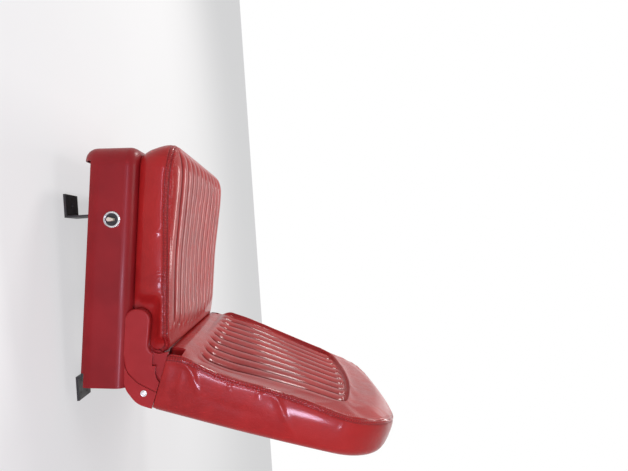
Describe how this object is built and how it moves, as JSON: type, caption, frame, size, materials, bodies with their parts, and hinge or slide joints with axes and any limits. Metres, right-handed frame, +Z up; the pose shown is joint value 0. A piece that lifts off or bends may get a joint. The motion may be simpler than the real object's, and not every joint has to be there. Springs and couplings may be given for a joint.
{
  "type": "folding front bucket seat",
  "caption": "Front bucket seat of a two-door car in pleated red leather, with a backrest that folds forward, a sliding base, a wrap-round skirt and a seat switch.",
  "frame": {"origin": "centre of the four floor bolts, on the floor under the feet", "axes": "+X outboard (the driver's left), +Y to the rear, +Z up"},
  "size_m": [0.58, 0.7685, 0.749],
  "materials": {
    "leather_red": "glossy hide",
    "skirt_red": "satin",
    "cover_red": "satin",
    "arm_red": "satin",
    "back_board": "satin hide",
    "chrome": "polished",
    "knob_ivory": "gloss",
    "steel_black": "satin",
    "steel_zinc": "dull",
    "spring_steel": "oiled",
    "cast_metal": "cast",
    "motor_enamel": "gloss"
  },
  "bodies": {
    "floor_track": {"rail_lower_left": "steel_zinc", "rail_lower_right": "steel_zinc", "foot_front_left": "steel_black", "foot_front_right": "steel_black", "foot_rear_left": "steel_black", "foot_rear_right": "steel_black", "track_tie": "steel_black"},
    "seat": {"rail_upper_left": "steel_zinc", "rail_upper_right": "steel_zinc", "gearbox_left": "cast_metal", "gearbox_right": "cast_metal", "cross_member_front": "steel_black", "cross_member_rear": "steel_black", "seat_frame": "steel_black", "seat_springs": "spring_steel", "motor_tray": "steel_black", "seat_motor": "motor_enamel", "drive_shafts": "spring_steel", "base_skirt": "skirt_red", "switch_bezel": "chrome", "switch_knob": "knob_ivory", "seat_cushion": "leather_red", "hinge_arm_left": "arm_red", "hinge_arm_right": "arm_red", "arm_cover_left": "cover_red", "arm_cover_right": "cover_red", "arm_end_cover_left": "cover_red", "arm_end_cover_right": "cover_red", "arm_screw_left": "chrome", "arm_screw_right": "chrome", "pivot_pin_left": "steel_zinc", "pivot_pin_right": "steel_zinc"},
    "backrest": {"back_cushion": "leather_red", "back_panel": "back_board", "back_frame": "steel_black", "hinge_plate_left": "steel_black", "hinge_plate_right": "steel_black"}
  },
  "joints": [
    {"name": "seat_slide", "type": "slide", "parent": "floor_track", "child": "seat", "axis": [0, -0.9938, 0.1115], "range_m": [-0.035, 0.09]},
    {"name": "back_fold", "type": "hinge", "parent": "seat", "child": "backrest", "pos_m": [0, 0.17, 0.23097], "axis": [1, 0, 0], "range_deg": [0, 40]}
  ]
}
